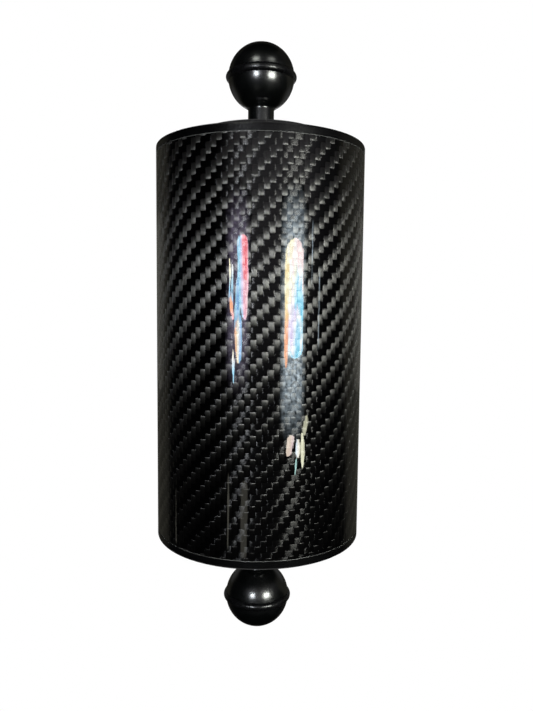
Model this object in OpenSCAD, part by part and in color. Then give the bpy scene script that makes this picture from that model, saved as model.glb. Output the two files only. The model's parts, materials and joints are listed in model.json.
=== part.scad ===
// Buoyancy float arm: a sealed carbon-fibre tube with a 1-inch ball at each end.
// The tube's axis is Z and the origin is at the middle of the arm.
// Both ends are built alike, from the tube outwards: end cap, seals, ball post, screw.

/* [Arm] */
// Distance between the centres of the two balls
ball_pitch = 205; // [200:1:320]
// Length of the float body, over both end caps
body_len = 151; // [120:1:151]

/* [Tube] */
// Outer diameter of the carbon tube and of the caps
tube_od = 80; // [76:1:100]
// Wall thickness of the carbon tube
tube_wall = 2; // [1.5:0.1:3]
// Rounding of the tube's cut edges
tube_edge = 0.3; // [0.1:0.1:0.5]

/* [End cap] */
// Thickness of the flange that shows beyond the tube
flange_t = 3; // [2.5:0.1:5]
// Rounding of the flange's outer edge
flange_edge = 1; // [0.4:0.1:1.5]
// Length of the spigot that goes into the tube
spigot_len = 17; // [16:0.5:22]
// Wall thickness of the spigot
spigot_wall = 4; // [3.5:0.5:7]
// Thickness of the pressure plate across the cap
plate_t = 6; // [5:0.5:9]
// Diameter of the raised hub in the middle of the outer face
hub_d = 50; // [40:1:56]
// Height of the hub above the flange's face
hub_h = 4.8; // [3:0.1:5]
// Chamfer around the hub
hub_chamfer = 0.5; // [0.3:0.1:1]
// Wall thickness of the hub around the hollow behind it
hub_wall = 3.5; // [3:0.5:5]
// Diameter of the tapped boss behind the plate
boss_d = 18; // [14:1:24]
// Depth of the tapped hole below the flange's face; it stays closed at the bottom
tap_depth = 11; // [10:0.5:13]
// Thickness of the boss under the tapped hole
boss_floor = 3.5; // [3:0.5:5]

/* [Seals] */
// Section height of the radial O-rings as squeezed in their grooves
cap_seal_h = 2.1; // [1.8:0.1:2.4]
// Section width of the radial O-rings as squeezed
cap_seal_w = 3; // [2.6:0.1:3.2]
// Height of the face seal under the ball post as squeezed
foot_seal_h = 1.35; // [1.2:0.05:1.6]
// Width of the face seal as squeezed
foot_seal_w = 2.1; // [1.9:0.1:2.4]
// Middle diameter of the face seal
foot_seal_d = 12.6; // [12:0.2:14]

/* [Adhesive] */
// Width of the glue groove under the flange
bond_w = 4.5; // [3:0.5:5]
// Depth of the glue groove
bond_depth = 0.7; // [0.4:0.1:1]
// Thickness of the glue between the tube's end and the flange
bond_t = 0.25; // [0.15:0.05:0.4]

/* [Ball post] */
// Diameter of the ball
ball_d = 25.4; // [25.4:0.1:25.4]
// Diameter of the neck
neck_d = 10; // [9.4:0.2:12]
// Fillet between the neck and the ball, and between the neck and the foot
neck_fillet = 1; // [0.5:0.1:1.5]
// Diameter of the foot that sits on the hub
foot_d = 18; // [17:0.5:22]
// Thickness of the foot
foot_t = 3.5; // [3:0.5:5]
// Chamfer around the top of the foot
foot_chamfer = 0.8; // [0.4:0.1:1]

/* [Grip ring] */
// Outer diameter of the O-ring around the ball's equator
grip_od = 27.2; // [26.4:0.1:27.8]
// Section diameter of the grip O-ring
grip_sec = 3.1; // [2.6:0.1:3.4]

/* [Ball screw] */
// Thread diameter of the screw through the ball post
screw_d = 6; // [6:1:6]
// How far the screw reaches below the flange's face
screw_reach = 8.5; // [7:0.5:9.5]
// Diameter of the screw's head
head_d = 10; // [9.5:0.5:10]
// Height of the screw's head
head_h = 6; // [5:0.5:6]
// Width across flats of the hexagon socket
socket_af = 5; // [4:1:5]
// Depth of the hexagon socket
socket_depth = 3; // [2.5:0.5:3.5]
// Depth of the head's seat below the ball's pole
seat_depth = 8.2; // [8:0.1:9]

/* [Hidden] */
$fn = 96;

UPPER = 1;
LOWER = -1;

cut = 1;            // how far a cutting shape runs past the surface that it cuts
ring_gap = 0.02;    // what keeps a seal clear of the metal around it
spigot_gap = 0.1;   // radial clearance of the spigot in the tube
thread_gap = 0.05;  // radial clearance that stands for the thread's flanks
screw_clear = 0.2;  // radial clearance of the screw in the ball post

tube_r = tube_od / 2;
bore_r = tube_r - tube_wall;
tube_len = body_len - 2 * (flange_t + bond_t);

spigot_r = bore_r - spigot_gap;
pocket_r = spigot_r - spigot_wall;
spigot_end = -(flange_t + spigot_len);

hub_r = hub_d / 2;
boss_end = -(tap_depth + boss_floor);

// The two O-ring grooves share the spigot's length beyond the glue groove.
groove_w = cap_seal_w + 0.5;
groove_floor = bore_r - cap_seal_h - ring_gap;
groove_land = (spigot_len - bond_w - 2 * groove_w) / 3;
seal_outer_z = -(flange_t + bond_w + groove_land + groove_w / 2);
seal_inner_z = seal_outer_z - groove_land - groove_w;

bond_floor = spigot_r - bond_depth;

ball_r = ball_d / 2;
ball_z = (ball_pitch - body_len) / 2;   // the ball's centre above the flange's face
neck_r = neck_d / 2;
bore_post_r = screw_d / 2 + screw_clear;
seat_z = ball_z + ball_r - seat_depth;  // where the screw's head sits
seat_r = head_d / 2 + 0.2;
screw_len = seat_z + screw_reach;
rim_z = ball_z + sqrt(ball_r * ball_r - seat_r * seat_r);
rim_chamfer = 0.4;

// The fillet's centre lies on a circle around the ball and beside the neck.
fillet_x = neck_r + neck_fillet;
fillet_reach = ball_r + neck_fillet;
fillet_z = ball_z - sqrt(fillet_reach * fillet_reach - fillet_x * fillet_x);
touch_x = fillet_x * ball_r / fillet_reach;
touch_z = ball_z + (fillet_z - ball_z) * ball_r / fillet_reach;

grip_r = grip_sec / 2;
grip_mid = grip_od / 2 - grip_r;

// Puts what is drawn above the flange's outer face at the upper or the lower end.
module at_end(end) {
    rotate([end == UPPER ? 0 : 180, 0, 0])
        translate([0, 0, body_len / 2])
            children();
}

// A section with two rounded short ends, around its own middle.
module seal_section(w, h) {
    end_r = min(w, h) / 2;
    flat = abs(w - h);
    square(w > h ? [flat, h] : [w, flat], center = true);
    for (s = [-1, 1])
        translate(w > h ? [s * flat / 2, 0] : [0, s * flat / 2])
            circle(end_r, $fn = 32);
}

// Half of a disc's section, with its outer top corner rounded.
module rounded_disc(r, t, edge) {
    square([r - edge, t]);
    square([r, t - edge]);
    translate([r - edge, t - edge])
        circle(edge, $fn = 48);
}

module carbon_tube() {
    color([0.10, 0.10, 0.11])
        rotate_extrude()
            intersection() {
                translate([bore_r, -tube_len / 2])
                    square([tube_wall, tube_len]);
                union()
                    for (s = [0, 1])
                        mirror([0, s])
                            rounded_disc(tube_r, tube_len / 2, tube_edge);
            }
}

module cap_section() {
    difference() {
        union() {
            translate([0, -flange_t])
                rounded_disc(tube_r, flange_t, flange_edge);
            polygon([
                [0, -cut], [hub_r, -cut], [hub_r, hub_h - hub_chamfer],
                [hub_r - hub_chamfer, hub_h], [0, hub_h]
            ]);
            translate([0, spigot_end])
                square([spigot_r, -spigot_end - flange_t]);
        }
        // Pocket between the spigot's wall and the boss, and the hollow behind the hub
        translate([boss_d / 2, spigot_end - cut])
            square([pocket_r - boss_d / 2, -spigot_end - plate_t + cut]);
        translate([0, spigot_end - cut])
            square([pocket_r, boss_end - spigot_end + cut]);
        translate([boss_d / 2, -plate_t - cut])
            square([hub_r - hub_wall - boss_d / 2, hub_h + cut]);
        // Glue groove, right under the flange
        translate([bond_floor, -flange_t - bond_w])
            square([bond_depth + cut, bond_w]);
        for (z = [seal_outer_z, seal_inner_z])
            translate([groove_floor, z - groove_w / 2])
                square([bore_r, groove_w]);
        // Groove of the face seal in the hub
        translate([foot_seal_d / 2 - foot_seal_w / 2 - 0.1, hub_h - foot_seal_h])
            square([foot_seal_w + 0.2, foot_seal_h + cut]);
        // Tapped hole, closed at the bottom
        translate([0, -tap_depth])
            square([screw_d / 2 + thread_gap, tap_depth + hub_h + cut]);
    }
}

module end_cap(end) {
    color([0.06, 0.06, 0.07])
        at_end(end)
            rotate_extrude()
                cap_section();
}

module cap_seal(end, z) {
    mid = (groove_floor + bore_r - ring_gap) / 2;
    color([0.16, 0.16, 0.16])
        at_end(end)
            translate([0, 0, z])
                rotate_extrude()
                    translate([mid, 0])
                        seal_section(cap_seal_h - ring_gap, cap_seal_w);
}

// Cured glue: it fills its groove and the joint between the tube and the flange.
module bond_ring(end) {
    color([0.55, 0.55, 0.52])
        at_end(end)
            rotate_extrude() {
                translate([bond_floor, -flange_t - bond_w])
                    square([bore_r - bond_floor, bond_w]);
                translate([bond_floor, -flange_t - bond_t])
                    square([tube_r - bond_t - bond_floor, bond_t]);
                translate([tube_r - bond_t, -flange_t - bond_t / 2])
                    circle(bond_t / 2, $fn = 24);
            }
}

module foot_seal(end) {
    color([0.16, 0.16, 0.16])
        at_end(end)
            translate([0, 0, hub_h - foot_seal_h / 2])
                rotate_extrude()
                    translate([foot_seal_d / 2, 0])
                        seal_section(foot_seal_w, foot_seal_h - 2 * ring_gap);
}

// The small concave corner between the neck and the ball.
module ball_fillet_section() {
    difference() {
        polygon([[0, fillet_z], [fillet_x, fillet_z], [touch_x, touch_z], [0, touch_z]]);
        translate([fillet_x, fillet_z])
            circle(neck_fillet, $fn = 48);
    }
}

module foot_section() {
    square([foot_d / 2, foot_t - foot_chamfer]);
    polygon([
        [0, foot_t - foot_chamfer], [foot_d / 2, foot_t - foot_chamfer],
        [foot_d / 2 - foot_chamfer, foot_t], [0, foot_t]
    ]);
    difference() {
        translate([0, foot_t])
            square([neck_r + neck_fillet, neck_fillet]);
        translate([neck_r + neck_fillet, foot_t + neck_fillet])
            circle(neck_fillet, $fn = 48);
    }
}

module post_section() {
    difference() {
        union() {
            translate([0, hub_h])
                foot_section();
            translate([0, hub_h])
                square([neck_r, ball_z - hub_h]);
            ball_fillet_section();
            intersection() {
                translate([0, ball_z])
                    circle(ball_r, $fn = 180);
                translate([0, ball_z - ball_r])
                    square([ball_r, 2 * ball_r]);
            }
        }
        // Round-bottomed groove for the grip ring
        translate([grip_mid, ball_z]) {
            circle(grip_r + ring_gap, $fn = 48);
            translate([0, -grip_r - ring_gap])
                square([ball_r, 2 * (grip_r + ring_gap)]);
        }
        // Bore and seat of the screw, with a broken edge at the ball's pole
        translate([0, hub_h - cut])
            square([bore_post_r, seat_z - hub_h + 2 * cut]);
        translate([0, seat_z])
            square([seat_r, seat_depth + cut]);
        polygon([
            [0, rim_z - rim_chamfer], [seat_r, rim_z - rim_chamfer],
            [seat_r + rim_chamfer + cut, rim_z + cut], [0, rim_z + cut]
        ]);
    }
}

module ball_post(end) {
    color([0.03, 0.03, 0.035])
        at_end(end)
            rotate_extrude()
                post_section();
}

module grip_ring(end) {
    color([0.11, 0.11, 0.11])
        at_end(end)
            translate([0, 0, ball_z])
                rotate_extrude()
                    translate([grip_mid, 0])
                        circle(grip_r, $fn = 48);
}

// Socket-head screw: it goes down through the ball and the neck into the cap.
module ball_screw(end) {
    head_chamfer = 0.5;
    tip_chamfer = 0.8;
    color([0.62, 0.62, 0.64])
        at_end(end)
            translate([0, 0, seat_z])
                difference() {
                    union() {
                        cylinder(r = head_d / 2, h = head_h - head_chamfer);
                        translate([0, 0, head_h - head_chamfer])
                            cylinder(r1 = head_d / 2, r2 = head_d / 2 - head_chamfer,
                                h = head_chamfer);
                        translate([0, 0, tip_chamfer - screw_len])
                            cylinder(r = screw_d / 2, h = screw_len - tip_chamfer + cut);
                        translate([0, 0, -screw_len])
                            cylinder(r1 = screw_d / 2 - tip_chamfer, r2 = screw_d / 2,
                                h = tip_chamfer);
                    }
                    translate([0, 0, head_h - socket_depth])
                        cylinder(d = socket_af / cos(30), h = socket_depth + cut, $fn = 6);
                }
}

carbon_tube();
end_cap(UPPER);  // upper_end_cap
end_cap(LOWER);  // lower_end_cap
cap_seal(UPPER, seal_outer_z);  // upper_cap_seal_outer
cap_seal(LOWER, seal_outer_z);  // lower_cap_seal_outer
cap_seal(UPPER, seal_inner_z);  // upper_cap_seal_inner
cap_seal(LOWER, seal_inner_z);  // lower_cap_seal_inner
bond_ring(UPPER);  // upper_bond_ring
bond_ring(LOWER);  // lower_bond_ring
foot_seal(UPPER);  // upper_foot_seal
foot_seal(LOWER);  // lower_foot_seal
ball_post(UPPER);  // upper_ball_post
ball_post(LOWER);  // lower_ball_post
grip_ring(UPPER);  // upper_grip_ring
grip_ring(LOWER);  // lower_grip_ring
ball_screw(UPPER);  // upper_ball_screw
ball_screw(LOWER);  // lower_ball_screw
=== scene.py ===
"""Looks of a carbon-fibre buoyancy arm with a ball at each end. Metres, the arm's axis along +Z."""
import json
import math

import bpy
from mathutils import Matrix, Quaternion, Vector


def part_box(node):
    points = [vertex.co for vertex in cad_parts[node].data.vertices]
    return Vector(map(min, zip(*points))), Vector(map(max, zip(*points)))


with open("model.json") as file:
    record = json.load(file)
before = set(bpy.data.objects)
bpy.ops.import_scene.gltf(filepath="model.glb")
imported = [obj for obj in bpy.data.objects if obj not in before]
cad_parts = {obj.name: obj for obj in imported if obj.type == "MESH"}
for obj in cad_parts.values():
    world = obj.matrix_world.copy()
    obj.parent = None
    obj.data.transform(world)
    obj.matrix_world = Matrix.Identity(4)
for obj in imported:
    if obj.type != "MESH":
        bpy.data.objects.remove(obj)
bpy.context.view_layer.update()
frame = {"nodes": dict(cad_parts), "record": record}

MM = 0.001
UP = (0.0, 0.0, 1.0)

tube_low, tube_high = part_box("carbon_tube")
TUBE_R = (tube_high.x - tube_low.x) / 2

# ---------------------------------------------------------------- the cloth

# A 2/2 twill, so the tows around the tube are a multiple of four. The warp runs along it, the weft around it.
TOWS_AROUND = 124
TOW_RISE = 2.0457 * MM      # from one weft tow to the next along the tube
FIRST_COLUMN = 1.55         # where its columns and rows start, in tows
FIRST_ROW = 0.17

# It is laid by hand, so it isn't quite regular. Shifts are in tows, turns in radians from the camera's side.
LEAN = 0.35                 # what its rows rise on one side and fall on the other
CROWD = 0.28                # its columns crowd around one turn
CROWD_TURN = 0.5
CROWD_SPREAD = 0.25
WANDER = 0.25               # slowly, everywhere

# The shape of a tow, as slopes: one for both, or the weft's and then the warp's
RUN_CROWN = 0.085           # at the ends of the visible stretch, which is nearly flat
RUN_DIVE = 0.24             # what is added where it goes under
TILT = 0.04                 # of a whole stretch, at random
SIDE_CROWN = (0.07, 0.16)   # at its sides
SIDE_ROLL = (0.15, 0.35)    # what is added at the very edge
CRINKLE = (0.005, 0.05)
FILAMENT = (0.04, 0.08)     # of the fine ridges along it

# Its look, in the same order
SHARE_OF_GREY = (0.42, 1.0)
ROUGHNESS = (0.26, 0.36)    # the weft is pulled flatter
TOW_GREY = (0.047, 0.046, 0.044)
RESIN = (0.004, 0.004, 0.005)

# ---------------------------------------------------------------- the stage

LIGHT_REACH = 15 * TUBE_R   # the strips of light stand on a circle of this radius around the arm
CEILING = 0.9               # heights of the soft lights over and under the middle of the arm
PIT = -0.8
FLOOR = -0.9                # the arm hangs free above it

WHITE = (1.0, 1.0, 1.0)
COOL = (0.90, 0.95, 1.0)
WARM = (0.97, 1.0, 0.93)
CREAM = (1.0, 0.95, 0.68)
ROSE = (1.0, 0.22, 0.27)
PINK = (1.0, 0.55, 0.66)
SALMON = (1.0, 0.50, 0.30)
PEACH = (1.0, 0.84, 0.70)
GOLD = (1.0, 0.80, 0.40)
PALE = (1.0, 0.80, 0.80)
LIME = (1.0, 1.0, 0.74)
OLIVE = (1.0, 0.97, 0.82)
MINT = (0.62, 1.0, 0.95)
SKY = (0.42, 0.78, 1.0)
TEAL = (0.24, 0.70, 0.92)
BLUE = (0.26, 0.52, 0.95)
LILAC = (0.75, 0.66, 0.95)
HAZE = (0.72, 0.87, 0.98)

# What the room sends out: its wall to the sides and straight behind, and its dark and pale parts in front
WALL_SIDE = (0.122, 0.118, 0.098)
WALL_BACK = (0.047, 0.045, 0.036)
FRONT_DARK = (0.006, 0.006, 0.007)
FRONT_PALE = (0.26, 0.255, 0.27)

CAMERA_AT = Vector((-0.2, -249.4, 17.05)) * MM
CAMERA_SENSOR = 36.0        # millimetres, of the frame's long side, which is its height
CAMERA_LENS = 31.8
CAMERA_YAW = 0.0128         # to the right, radians
CAMERA_PITCH = -0.0859
CAMERA_ROLL = 0.0095


# ---------------------------------------------------------------- node trees

class Tree:
    """Short calls that add nodes to a node tree. An input is a number, a tuple or another node's output."""

    def __init__(self, owner):
        owner.use_nodes = True
        self.tree = owner.node_tree
        self.tree.nodes.clear()

    def node(self, kind, settings=None, **inputs):
        made = self.tree.nodes.new(kind)
        for name, value in (settings or {}).items():
            setattr(made, name, value)
        for name, value in inputs.items():
            self.set(made, name.replace("_", " "), value)
        return made

    def set(self, node, name, value):
        socket = node.inputs[name]
        if isinstance(value, bpy.types.NodeSocket):
            self.tree.links.new(value, socket)
        else:
            socket.default_value = value

    def operation(self, kind, operation, values):
        made = self.node(kind, {"operation": operation})
        for place, value in enumerate(values):
            self.set(made, place, value)
        return made.outputs[0]

    def math(self, operation, *values):
        return self.operation("ShaderNodeMath", operation, values)

    def vector(self, operation, *values):
        return self.operation("ShaderNodeVectorMath", operation, values)

    def add(self, a, b):
        return self.math("ADD", a, b)

    def sub(self, a, b):
        return self.math("SUBTRACT", a, b)

    def mul(self, a, b):
        return self.math("MULTIPLY", a, b)

    def power(self, value, exponent):
        """The power of the value without its sign."""
        return self.math("POWER", self.math("ABSOLUTE", value), exponent)

    def pick(self, factor, off, on):
        """off where factor is 0 and on where it is 1; numbers."""
        return self.add(off, self.mul(factor, self.sub(on, off)))

    def scale(self, vector, factor):
        made = self.node("ShaderNodeVectorMath", {"operation": "SCALE"}, Vector=vector, Scale=factor)
        return made.outputs[0]

    def join(self, x, y, z):
        return self.node("ShaderNodeCombineXYZ", X=x, Y=y, Z=z).outputs[0]

    def split(self, vector):
        return self.node("ShaderNodeSeparateXYZ", Vector=vector).outputs

    def smooth(self, value, low, high, off=0.0, on=1.0):
        """A soft step: off up to low, on from high."""
        made = self.node("ShaderNodeMapRange", {"interpolation_type": "SMOOTHSTEP"}, Value=value)
        for name, number in (("From Min", low), ("From Max", high), ("To Min", off), ("To Max", on)):
            self.set(made, name, number)
        return made.outputs[0]

    def noise(self, vector, scale, detail=2.0, rough=0.5):
        made = self.node("ShaderNodeTexNoise", Vector=vector, Scale=scale, Detail=detail, Roughness=rough)
        return made.outputs["Fac"]

    def swing(self, vector, scale, detail=2.0, rough=0.5):
        """The same noise around 0."""
        return self.sub(self.noise(vector, scale, detail, rough), 0.5)

    def chance(self, vector):
        """A random number for each whole-numbered place."""
        made = self.node("ShaderNodeTexWhiteNoise", {"noise_dimensions": "3D"}, Vector=vector)
        return made.outputs["Value"]

    def ramp(self, factor, colours):
        """Evenly spaced colours that blend into each other."""
        made = self.node("ShaderNodeValToRGB", Fac=factor)
        elements = made.color_ramp.elements
        while len(elements) < len(colours):
            elements.new(0.5)
        for place, (element, colour) in enumerate(zip(elements, colours)):
            element.position = place / (len(colours) - 1)
            element.color = (*colour, 1.0)
        return made.outputs["Color"]

    def blend(self, factor, off, on):
        """off where factor is 0 and on where it is 1; colours."""
        made = self.node("ShaderNodeMix", {"data_type": "RGBA"})
        for place, value in ((0, factor), (6, off), (7, on)):
            self.set(made, place, value)
        return made.outputs[2]

    def bump(self, height, distance):
        return self.node("ShaderNodeBump", Height=height, Distance=distance).outputs["Normal"]

    def object_place(self):
        return self.node("ShaderNodeTexCoord").outputs["Object"]

    def finish(self, shader, kind="ShaderNodeOutputMaterial"):
        """The shader goes to the output."""
        self.tree.links.new(shader.outputs[0], self.node(kind).inputs["Surface"])


def principled(name, **constants):
    """A material with one Principled shader. Returns the material, its tree and the shader."""
    material = bpy.data.materials.new(name)
    tree = Tree(material)
    shader = tree.node("ShaderNodeBsdfPrincipled", **constants)
    tree.finish(shader)
    return material, tree, shader


# ---------------------------------------------------------------- materials

def cloth_place(t, place):
    """Where a point lies in the cloth, in tows around the tube and along it."""
    x, y, z = t.split(place)
    turn = t.math("ARCTAN2", x, t.mul(y, -1.0))
    around = t.sub(t.mul(turn, TOWS_AROUND / (2 * math.pi)), FIRST_COLUMN)
    along = t.sub(t.math("DIVIDE", z, TOW_RISE), FIRST_ROW)
    along = t.sub(along, t.mul(t.math("SINE", turn), LEAN))
    off_crowd = t.math("DIVIDE", t.sub(turn, CROWD_TURN), CROWD_SPREAD)
    crowd = t.math("EXPONENT", t.mul(t.mul(off_crowd, off_crowd), -1.0))
    around = t.add(around, t.mul(crowd, CROWD))
    around = t.add(around, t.mul(t.swing(place, 22.0, 1.0), WANDER))
    along = t.add(along, t.mul(t.swing(place, 17.0, 1.0), WANDER))
    return around, along


def carbon_twill():
    """2/2 twill under a clear coat. A tow shines across its own fibres, like a bundle of fine cylinders."""
    material, t, shader = principled(
        "carbon_twill", Metallic=1.0, Anisotropic=1.0, Coat_Weight=1.0, Coat_Roughness=0.0, Coat_IOR=1.52
    )
    place = t.object_place()
    around, along = cloth_place(t, place)
    column = t.math("FLOOR", around)
    row = t.math("FLOOR", along)
    across_column = t.sub(around, column)
    across_row = t.sub(along, row)

    # Which tow is on top: each goes over two and under two, one further on in each row.
    step = t.sub(column, row)
    turn = t.math("FLOORED_MODULO", step, 4.0)
    warp = t.math("LESS_THAN", turn, 1.5)

    def for_tow(pair):
        return t.pick(warp, *pair)

    # Place along the visible stretch of that tow, which covers two crossing tows, and across it, from 0 to 1
    warp_run = t.mul(t.add(across_row, t.math("LESS_THAN", turn, 0.5)), 0.5)
    weft_run = t.mul(t.add(across_column, t.math("GREATER_THAN", turn, 2.5)), 0.5)
    run = for_tow((weft_run, warp_run))
    side = for_tow((across_row, across_column))
    off_run = t.sub(1.0, t.mul(run, 2.0))       # 1 at one end, 0 in the middle, -1 at the other end
    off_side = t.sub(1.0, t.mul(side, 2.0))

    # What is random: for a whole tow, for a stretch of it, and along its filaments
    stretch = t.math("FLOOR", t.math("DIVIDE", step, 4.0))
    tow = for_tow((row, column))
    tow_luck = t.chance(t.join(tow, 0.0, t.add(warp, 7.0)))
    stretch_luck = t.chance(t.join(tow, stretch, warp))
    strand = t.noise(t.join(t.mul(side, 9.0), t.mul(run, 1.1), t.mul(tow, 3.7)), 1.0, 2.0, 0.6)
    crinkle_place = t.join(t.mul(side, 7.0), t.mul(run, 4.0), t.add(t.mul(tow, 5.3), stretch))
    crinkle = t.swing(crinkle_place, 1.0, 2.0, 0.6)

    # Slope along the tow, then across it
    dive = t.mul(t.power(off_run, 8.0), RUN_DIVE)
    slope_run = t.mul(off_run, t.add(RUN_CROWN, dive))
    slope_run = t.add(slope_run, t.mul(t.sub(stretch_luck, 0.5), TILT))
    slope_run = t.add(slope_run, t.mul(crinkle, for_tow(CRINKLE)))
    roll = t.mul(t.power(off_side, 6.0), for_tow(SIDE_ROLL))
    slope_side = t.mul(off_side, t.add(for_tow(SIDE_CROWN), roll))
    ridge = t.math("SINE", t.mul(t.add(t.mul(side, 7.0), t.mul(strand, 1.5)), 2 * math.pi))
    slope_side = t.add(slope_side, t.mul(ridge, for_tow(FILAMENT)))

    # The normal leans from straight outward by these slopes.
    x, y, _ = t.split(place)
    outward = t.vector("NORMALIZE", t.join(x, y, 0.0))
    out_x, out_y, _ = t.split(outward)
    sideways = t.join(t.mul(out_y, -1.0), out_x, 0.0)
    normal = t.vector("SUBTRACT", outward, t.scale(sideways, for_tow((slope_run, slope_side))))
    normal = t.vector("SUBTRACT", normal, t.scale(UP, for_tow((slope_side, slope_run))))
    t.set(shader, "Normal", t.vector("NORMALIZE", normal))
    across_fibres = t.vector("ADD", t.scale(sideways, warp), t.scale(UP, t.sub(1.0, warp)))
    t.set(shader, "Tangent", across_fibres)

    # Resin shows dark between tows and where a tow goes under the next one, and tows and filaments differ.
    edge = t.add(t.power(off_side, 5.0), t.power(off_run, 7.0))
    bright = t.smooth(edge, 0.6, 1.25, 1.0, 0.12)
    for least, spread, luck in ((0.78, 0.3, tow_luck), (0.8, 0.3, stretch_luck), (0.7, 0.6, strand)):
        bright = t.mul(bright, t.add(least, t.mul(luck, spread)))
    bright = t.mul(bright, for_tow(SHARE_OF_GREY))
    t.set(shader, "Base Color", t.ramp(bright, (RESIN, TOW_GREY)))
    t.set(shader, "Roughness", t.add(for_tow(ROUGHNESS), t.mul(t.sub(strand, 0.5), 0.04)))

    # The clear coat is flatted and polished along the tube, which leaves faint lines and waves.
    polish = t.noise(t.vector("MULTIPLY", place, (1.0, 1.0, 0.05)), 900.0)
    t.set(shader, "Coat Normal", t.bump(polish, 0.012 * MM))
    return material


def black_metal(name, colour, roughness, tooth, rubbed, ior):
    """Black anodised aluminium: cloudy gloss, a fine tooth and rubbed high spots."""
    material, t, shader = principled(name, Metallic=0.0, IOR=ior)
    place = t.object_place()
    cloud = t.noise(place, 60.0, 3.0, 0.55)
    fine = t.noise(place, 2600.0, 2.0, 0.6)
    lighter = tuple(value * 2.2 + 0.0008 for value in colour)
    t.set(shader, "Base Color", t.ramp(t.mul(t.add(cloud, fine), rubbed), (colour, lighter)))
    t.set(shader, "Roughness", t.add(roughness - 0.06, t.mul(cloud, 0.12)))
    t.set(shader, "Normal", t.bump(fine, tooth))
    return material


def rubber(name, colour, roughness):
    """Smooth moulded nitrile: faint bloom and a fine skin."""
    material, t, shader = principled(name, Metallic=0.0, IOR=1.5)
    place = t.object_place()
    bloom = t.noise(place, 240.0, 3.0, 0.6)
    lighter = tuple(value * 1.8 for value in colour)
    t.set(shader, "Base Color", t.ramp(bloom, (colour, lighter)))
    t.set(shader, "Roughness", t.add(roughness - 0.08, t.mul(bloom, 0.16)))
    t.set(shader, "Normal", t.bump(t.noise(place, 3200.0), 0.006 * MM))
    return material


def epoxy():
    """Grey cured glue, with a little flow in it."""
    material, t, shader = principled("epoxy", Metallic=0.0, IOR=1.55)
    flow = t.noise(t.object_place(), 400.0, 3.0)
    t.set(shader, "Base Color", t.ramp(flow, ((0.05, 0.05, 0.05), (0.11, 0.11, 0.105))))
    t.set(shader, "Roughness", t.add(0.2, t.mul(flow, 0.1)))
    t.set(shader, "Normal", t.bump(flow, 0.03 * MM))
    return material


def stainless():
    """Stainless steel screw: turning rings on the head, and light scuffs."""
    material, t, shader = principled("stainless", Metallic=1.0)
    place = t.object_place()
    x, y, _ = t.split(place)
    radius = t.math("SQRT", t.add(t.mul(x, x), t.mul(y, y)))
    ring_pitch = 0.12 * MM
    rings = t.math("SINE", t.mul(radius, 2 * math.pi / ring_pitch))
    scuffs = t.noise(place, 900.0, 4.0, 0.7)
    t.set(shader, "Base Color", t.ramp(scuffs, ((0.42, 0.42, 0.43), (0.66, 0.65, 0.63))))
    t.set(shader, "Roughness", t.add(0.2, t.mul(scuffs, 0.22)))
    t.set(shader, "Normal", t.bump(t.add(t.mul(rings, 0.4), scuffs), 0.004 * MM))
    return material


MATERIALS = {
    "carbon_twill": carbon_twill(),
    "cap_black": black_metal(
        "cap_black", (0.0006, 0.0006, 0.0007), roughness=0.22, tooth=0.001 * MM, rubbed=0.4, ior=1.42
    ),
    "ball_black": black_metal(
        "ball_black", (0.0004, 0.0006, 0.0006), roughness=0.23, tooth=0.0005 * MM, rubbed=0.3, ior=1.8
    ),
    "grip_rubber": rubber("grip_rubber", (0.0022, 0.0022, 0.0025), roughness=0.27),
    "seal_rubber": rubber("seal_rubber", (0.010, 0.010, 0.010), roughness=0.38),
    "epoxy": epoxy(),
    "stainless": stainless(),
}

for subpart in frame["record"]["subparts"]:
    piece = frame["nodes"][subpart["node"]].data
    piece.materials.clear()
    piece.materials.append(MATERIALS[subpart["material_slot"]])


# ---------------------------------------------------------------- camera

def place_camera():
    """Level along +Y, then turned to the right, pitched and rolled."""
    camera = bpy.data.objects.new("camera", bpy.data.cameras.new("camera"))
    bpy.context.scene.collection.objects.link(camera)
    bpy.context.scene.camera = camera
    camera.data.sensor_width = CAMERA_SENSOR
    camera.data.lens = CAMERA_LENS
    camera.data.clip_start = 10 * MM
    camera.location = CAMERA_AT
    level = math.cos(CAMERA_PITCH)
    forward = Vector((math.sin(CAMERA_YAW) * level, math.cos(CAMERA_YAW) * level, math.sin(CAMERA_PITCH)))
    camera.rotation_mode = "QUATERNION"
    camera.rotation_quaternion = forward.to_track_quat("-Z", "Y") @ Quaternion(UP, CAMERA_ROLL)


place_camera()


# ---------------------------------------------------------------- lights

def stage_piece(name, mesh):
    """A new object, linked into the scene."""
    made = bpy.data.objects.new(name, mesh)
    bpy.context.scene.collection.objects.link(made)
    return made


def hide_lamp(lamp):
    """The camera doesn't see the lamp, and it casts no shadow."""
    lamp.visible_camera = False
    lamp.visible_shadow = False


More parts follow.
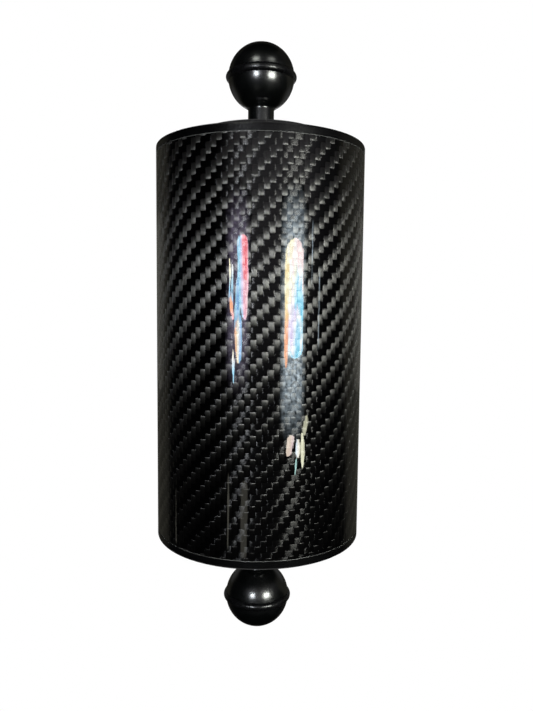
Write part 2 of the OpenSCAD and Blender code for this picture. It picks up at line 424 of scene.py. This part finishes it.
def strip_mesh(name, left, right, low, high, lean, top, bottom, reach):
    """A bent grid with rounded ends. Its UV layer says how far across and up each corner is."""
    rows, columns = 48, 8
    narrowest = 0.02
    places, corners, faces = [], [], []
    for r in range(rows + 1):
        up = r / rows
        taper = 1.0
        if top and up > 1 - top:
            taper = math.sqrt(max(0.0, 1 - ((up - 1 + top) / top) ** 2))
        if bottom and up < bottom:
            taper = min(taper, math.sqrt(max(0.0, 1 - ((bottom - up) / bottom) ** 2)))
        middle = (left + right) / 2 + lean * (0.5 - up)
        half = (right - left) / 2 * max(taper, narrowest)
        height = (low + (high - low) * up) * MM
        for c in range(columns + 1):
            across = c / columns
            turn = math.radians(middle + half * (2 * across - 1))
            places.append((math.sin(turn) * reach, -math.cos(turn) * reach, height))
            corners.append((across, up))
    for r in range(rows):
        for c in range(columns):
            first = r * (columns + 1) + c
            faces.append((first, first + 1, first + columns + 2, first + columns + 1))
    mesh = bpy.data.meshes.new(name)
    mesh.from_pydata(places, [], faces)
    layer = mesh.uv_layers.new(name="spread")
    for loop in mesh.loops:
        layer.data[loop.index].uv = corners[loop.vertex_index]
    return mesh


def strip(
    name, left, right, low, high, glow, colours, lamp=0.0,
    other=None, lean=0.0, top=0.15, bottom=0.15, upright=False, wobble=0.25,
    head=1.0, tint=WHITE, soft=0.0, mottle=0.0, back=0.0,
):
    """A curved strip of light that faces the arm.

    left and right are azimuths in degrees, 0 on the camera's side and positive to its right. low and high
    are heights in millimetres. lean moves the foot to the right of the head, in degrees. top and bottom are
    the tapered shares. back is how far the strip stands behind the others, in millimetres.

    The polished coat mirrors the strip with strength glow, streaked with colours: they run from left to
    right, or from the foot to the head of an upright one, whose right side can have other colours.
    Everything duller sees a plain lamp of one tint, and head is how much brighter its head is than its foot.

    soft is the share over which the edges fade, and mottle how cloudy the strip is.
    """
    mesh = strip_mesh(name, left, right, low, high, lean, top, bottom, LIGHT_REACH + back * MM)
    material = bpy.data.materials.new(name)
    mesh.materials.append(material)
    t = Tree(material)
    across, up, _ = t.split(t.node("ShaderNodeUVMap", {"uv_map": "spread"}).outputs[0])
    seed = sum(ord(letter) for letter in name) * 0.37
    sway = t.swing(t.join(t.mul(across, 2.5), t.mul(up, 2.0), seed), 1.5)
    brush = t.swing(t.join(t.mul(across, 15.0), t.mul(up, 1.6), seed), 1.0, 3.0, 0.6)
    waver = t.mul(t.add(sway, t.mul(brush, 1.6)), wobble)

    streaks = t.ramp(t.add(up if upright else across, waver), colours)
    if other:
        on_right = t.smooth(t.add(across, waver), 0.40, 0.60)
        streaks = t.blend(on_right, streaks, t.ramp(t.add(up, waver), other))
    mirrored = t.mul(glow, t.add(1.0, t.mul(brush, 0.5)))
    if mottle:
        cloud = t.noise(t.join(t.mul(across, 9.0), t.mul(up, 70.0), seed), 1.0, 5.0, 0.7)
        mirrored = t.mul(mirrored, t.smooth(cloud, 0.5 - 0.25 / mottle, 0.5 + 0.25 / mottle))
    plain = t.mul(lamp, t.add(1.0, t.mul(up, head - 1.0)))

    mirror = t.node("ShaderNodeLightPath").outputs["Is Singular Ray"]
    strength = t.pick(mirror, plain, mirrored)
    if soft:
        inside = t.math("MINIMUM", across, t.sub(1.0, across))
        ends = t.math("MINIMUM", up, t.sub(1.0, up))
        strength = t.mul(strength, t.mul(t.smooth(inside, 0.0, soft), t.smooth(ends, 0.0, soft)))
    colour = t.blend(mirror, (*tint, 1.0), streaks)
    t.finish(t.node("ShaderNodeEmission", Color=colour, Strength=strength))
    if not lamp:
        material.cycles.emission_sampling = "NONE"     # only the mirror finds it
    made = stage_piece(name, mesh)
    hide_lamp(made)
    return made


def glowing_square(name, half, height, strength):
    """A level square on the arm's axis that shines plain white."""
    corners = [(-half, -half, 0.0), (half, -half, 0.0), (half, half, 0.0), (-half, half, 0.0)]
    mesh = bpy.data.meshes.new(name)
    mesh.from_pydata(corners, [], [(0, 1, 2, 3)])
    material = bpy.data.materials.new(name)
    mesh.materials.append(material)
    t = Tree(material)
    t.finish(t.node("ShaderNodeEmission", Color=(*WHITE, 1.0), Strength=strength))
    made = stage_piece(name, mesh)
    made.location.z = height
    return made


def only_for(lamp, nodes):
    """Light linking: the lamp lights and shows in nothing else."""
    lit = bpy.data.collections.new(lamp.name)
    for node in nodes:
        lit.objects.link(frame["nodes"][node])
    lamp.light_linking.receiver_collection = lit


# Left of the camera
strip("left_rose", -22.0, -11.0, -5.0, 98.0, 20.0, [SKY, SKY, LILAC, PINK, ROSE, ROSE, PINK], 20.0,
      lean=2.0, top=0.12, bottom=0.65, wobble=0.32, head=3.4, tint=COOL)
strip("left_pink", -17.6, -11.6, -6.0, 44.0, 19.0, [LILAC, PINK, PINK, PALE], 24.0,
      lean=1.0, top=0.5, bottom=0.5, head=2.0, tint=COOL, back=-2.0)
strip("left_blue", -24.5, -19.5, -20.0, 56.0, 17.0, [SKY, BLUE, SKY], 8.0,
      lean=-1.0, top=0.5, bottom=0.1, tint=COOL)
strip("left_foot", -24.4, -17.4, -60.0, 2.0, 19.0, [SALMON, CREAM, WHITE, BLUE, SKY], 3.0,
      top=0.4, bottom=0.5, tint=COOL)
strip("left_line", -31.0, -29.6, 14.0, 70.0, 26.0, [BLUE, SKY, CREAM, CREAM], top=0.3, upright=True)
strip("left_spark", -30.2, -27.0, -6.0, 24.0, 22.0, [PINK, SALMON, SALMON],
      lean=3.0, top=0.5, bottom=0.5, upright=True)
strip("left_thread", -28.4, -27.0, 8.0, 62.0, 20.0, [BLUE, SKY, WHITE], top=0.4, upright=True)
strip("left_tail", -27.2, -25.6, -84.0, -42.0, 24.0, [SKY, SKY, WHITE, CREAM],
      top=0.5, bottom=0.5, upright=True)

# Right of the camera
strip("right_edge", 26.0, 29.4, -65.0, 86.0, 21.0, [SALMON, SALMON, SALMON, GOLD, CREAM, GOLD, CREAM], 13.0,
      top=0.3, bottom=0.2, upright=True, head=3.8, tint=WARM)
strip("right_body", 27.6, 45.6, -54.0, 95.0, 20.5,
      [SKY, WHITE, LILAC, LILAC, WHITE, CREAM, WHITE, WHITE, CREAM], 13.0,
      other=[TEAL, SKY, WHITE, TEAL, TEAL, SKY, WHITE, PALE, PALE],
      lean=1.5, top=0.14, bottom=0.12, upright=True, wobble=0.7, head=3.8, tint=WARM, back=2.0)

# Overhead: they light the tops of the balls, and a little of the upper half of the cloth
strip("high_left", -34.0, -8.0, 560.0, 800.0, 8.0, [WHITE, WHITE], 8.0, soft=0.2, tint=WARM)
strip("high_right", 24.0, 56.0, 560.0, 760.0, 5.0, [WHITE, WHITE], 3.5, soft=0.2, tint=WARM)

# Behind, nearly only for what is dull: they pick out the cloth near the outline
strip("side_left", -155.0, -125.0, -100.0, 130.0, 0.12, [OLIVE, OLIVE], 0.15)
strip("side_right", 125.0, 155.0, -100.0, 130.0, 0.12, [OLIVE, OLIVE], 0.15)
strip("behind", 160.0, 200.0, -120.0, 180.0, 0.02, [WHITE, WHITE], 1.4, soft=0.25)

# Low in front, only for the mirror: small bright patches, then faint lines
strip("low_peach", 29.4, 36.4, -176.0, -149.0, 15.5, [PEACH, PEACH, PALE], lean=-3.0, top=0.15, bottom=0.25)
strip("low_white", 39.2, 44.2, -178.0, -154.0, 19.0, [HAZE, WHITE, CREAM], top=0.6, bottom=0.4)
strip("low_tail", 38.6, 40.8, -200.0, -178.0, 15.0, [MINT, MINT], lean=-1.5, top=0.5, bottom=0.5)
strip("low_lime", 44.8, 49.2, -192.0, -146.0, 17.0, [LIME, LIME], lean=1.0, top=0.4, bottom=0.4)
strip("low_wisp", 47.6, 52.8, -150.0, -124.0, 10.0, [LIME, LIME], lean=-3.0, top=0.6, bottom=0.4)
strip("line_right", 54.7, 55.7, 33.0, 120.0, 12.0, [HAZE, HAZE], soft=0.2)
strip("line_far_right", 63.6, 64.5, -46.0, 64.0, 8.0, [HAZE, HAZE], soft=0.2)
strip("line_side", -100.7, -99.3, -300.0, -221.0, 0.5, [OLIVE, OLIVE], soft=0.1)
strip("line_low", -32.2, -30.0, -300.0, -195.0, 1.1, [OLIVE, OLIVE], soft=0.1)
strip("band_low", -17.6, -10.7, -309.0, -205.0, 0.7, [OLIVE, OLIVE], soft=0.05)

# Cloudy halos around the two bright groups
strip("halo_left", -36.0, -8.0, -110.0, 170.0, 6.0, [LILAC, LILAC], soft=0.35, mottle=0.9, back=30.0)
strip("halo_right", 20.0, 50.0, -175.0, 175.0, 15.0, [HAZE, HAZE], soft=0.3, mottle=1.1, back=30.0)

# For views from behind, above and below: hardly any of it shows from the camera's side
CAPS = ("upper_end_cap", "lower_end_cap")
back_key = strip("back_key", 169.5, 190.5, -150.0, 250.0, 12.0, [HAZE, WHITE, WHITE, HAZE], 45.0, soft=0.3)
only_for(back_key, ("carbon_tube", *CAPS))
for name, height in (("overhead", CEILING), ("underneath", PIT)):
    softbox = glowing_square(name, 0.45, height, 0.5)
    hide_lamp(softbox)
    only_for(softbox, CAPS)


# ---------------------------------------------------------------- floor and room

floor = glowing_square("floor", 6.0, FLOOR, 1.0)
floor.visible_glossy = False
floor.visible_diffuse = False


def surroundings():
    """White behind the arm for the camera, and a dim warm room for the light."""
    world = bpy.data.worlds.new("room")
    bpy.context.scene.world = world
    t = Tree(world)
    right, back, high = t.split(t.node("ShaderNodeTexCoord").outputs["Generated"])

    # A warm wall to the sides and behind. On the right it begins nearer to the camera the higher it is.
    on_right = t.smooth(right, -0.2, 0.2)
    start = t.pick(on_right, 0.36, t.smooth(high, -0.3, 0.2, 0.34, -0.05))
    far = t.smooth(back, start, t.add(start, 0.2))
    wall = t.ramp(t.smooth(back, 0.0, 0.9), (WALL_SIDE, WALL_BACK))
    level = t.smooth(t.math("ABSOLUTE", high), 0.25, 0.6, 1.0, 0.35)

    # In front a pale ceiling and wall show faintly in the upper half of the coat.
    pale = t.mul(t.smooth(right, -0.75, -0.2), t.smooth(right, 0.7, 1.0, 1.0, 0.15))
    pale = t.mul(t.mul(pale, t.smooth(back, -0.1, 0.1, 1.0, 0.0)), t.smooth(high, -0.2, 0.22, 0.06, 1.0))
    pale = t.mul(pale, t.smooth(high, 0.4, 0.65, 1.0, 0.1))
    front = t.ramp(pale, (FRONT_DARK, FRONT_PALE))

    dim = t.node("ShaderNodeBackground", Color=t.blend(t.mul(far, level), front, wall), Strength=1.0)
    white = t.node("ShaderNodeBackground", Color=(*WHITE, 1.0), Strength=1.0)
    both = t.node("ShaderNodeMixShader")
    camera_ray = t.node("ShaderNodeLightPath").outputs["Is Camera Ray"]
    for place, value in enumerate((camera_ray, dim.outputs[0], white.outputs[0])):
        t.set(both, place, value)
    t.finish(both, "ShaderNodeOutputWorld")


surroundings()
bpy.context.scene.view_settings.view_transform = "Standard"
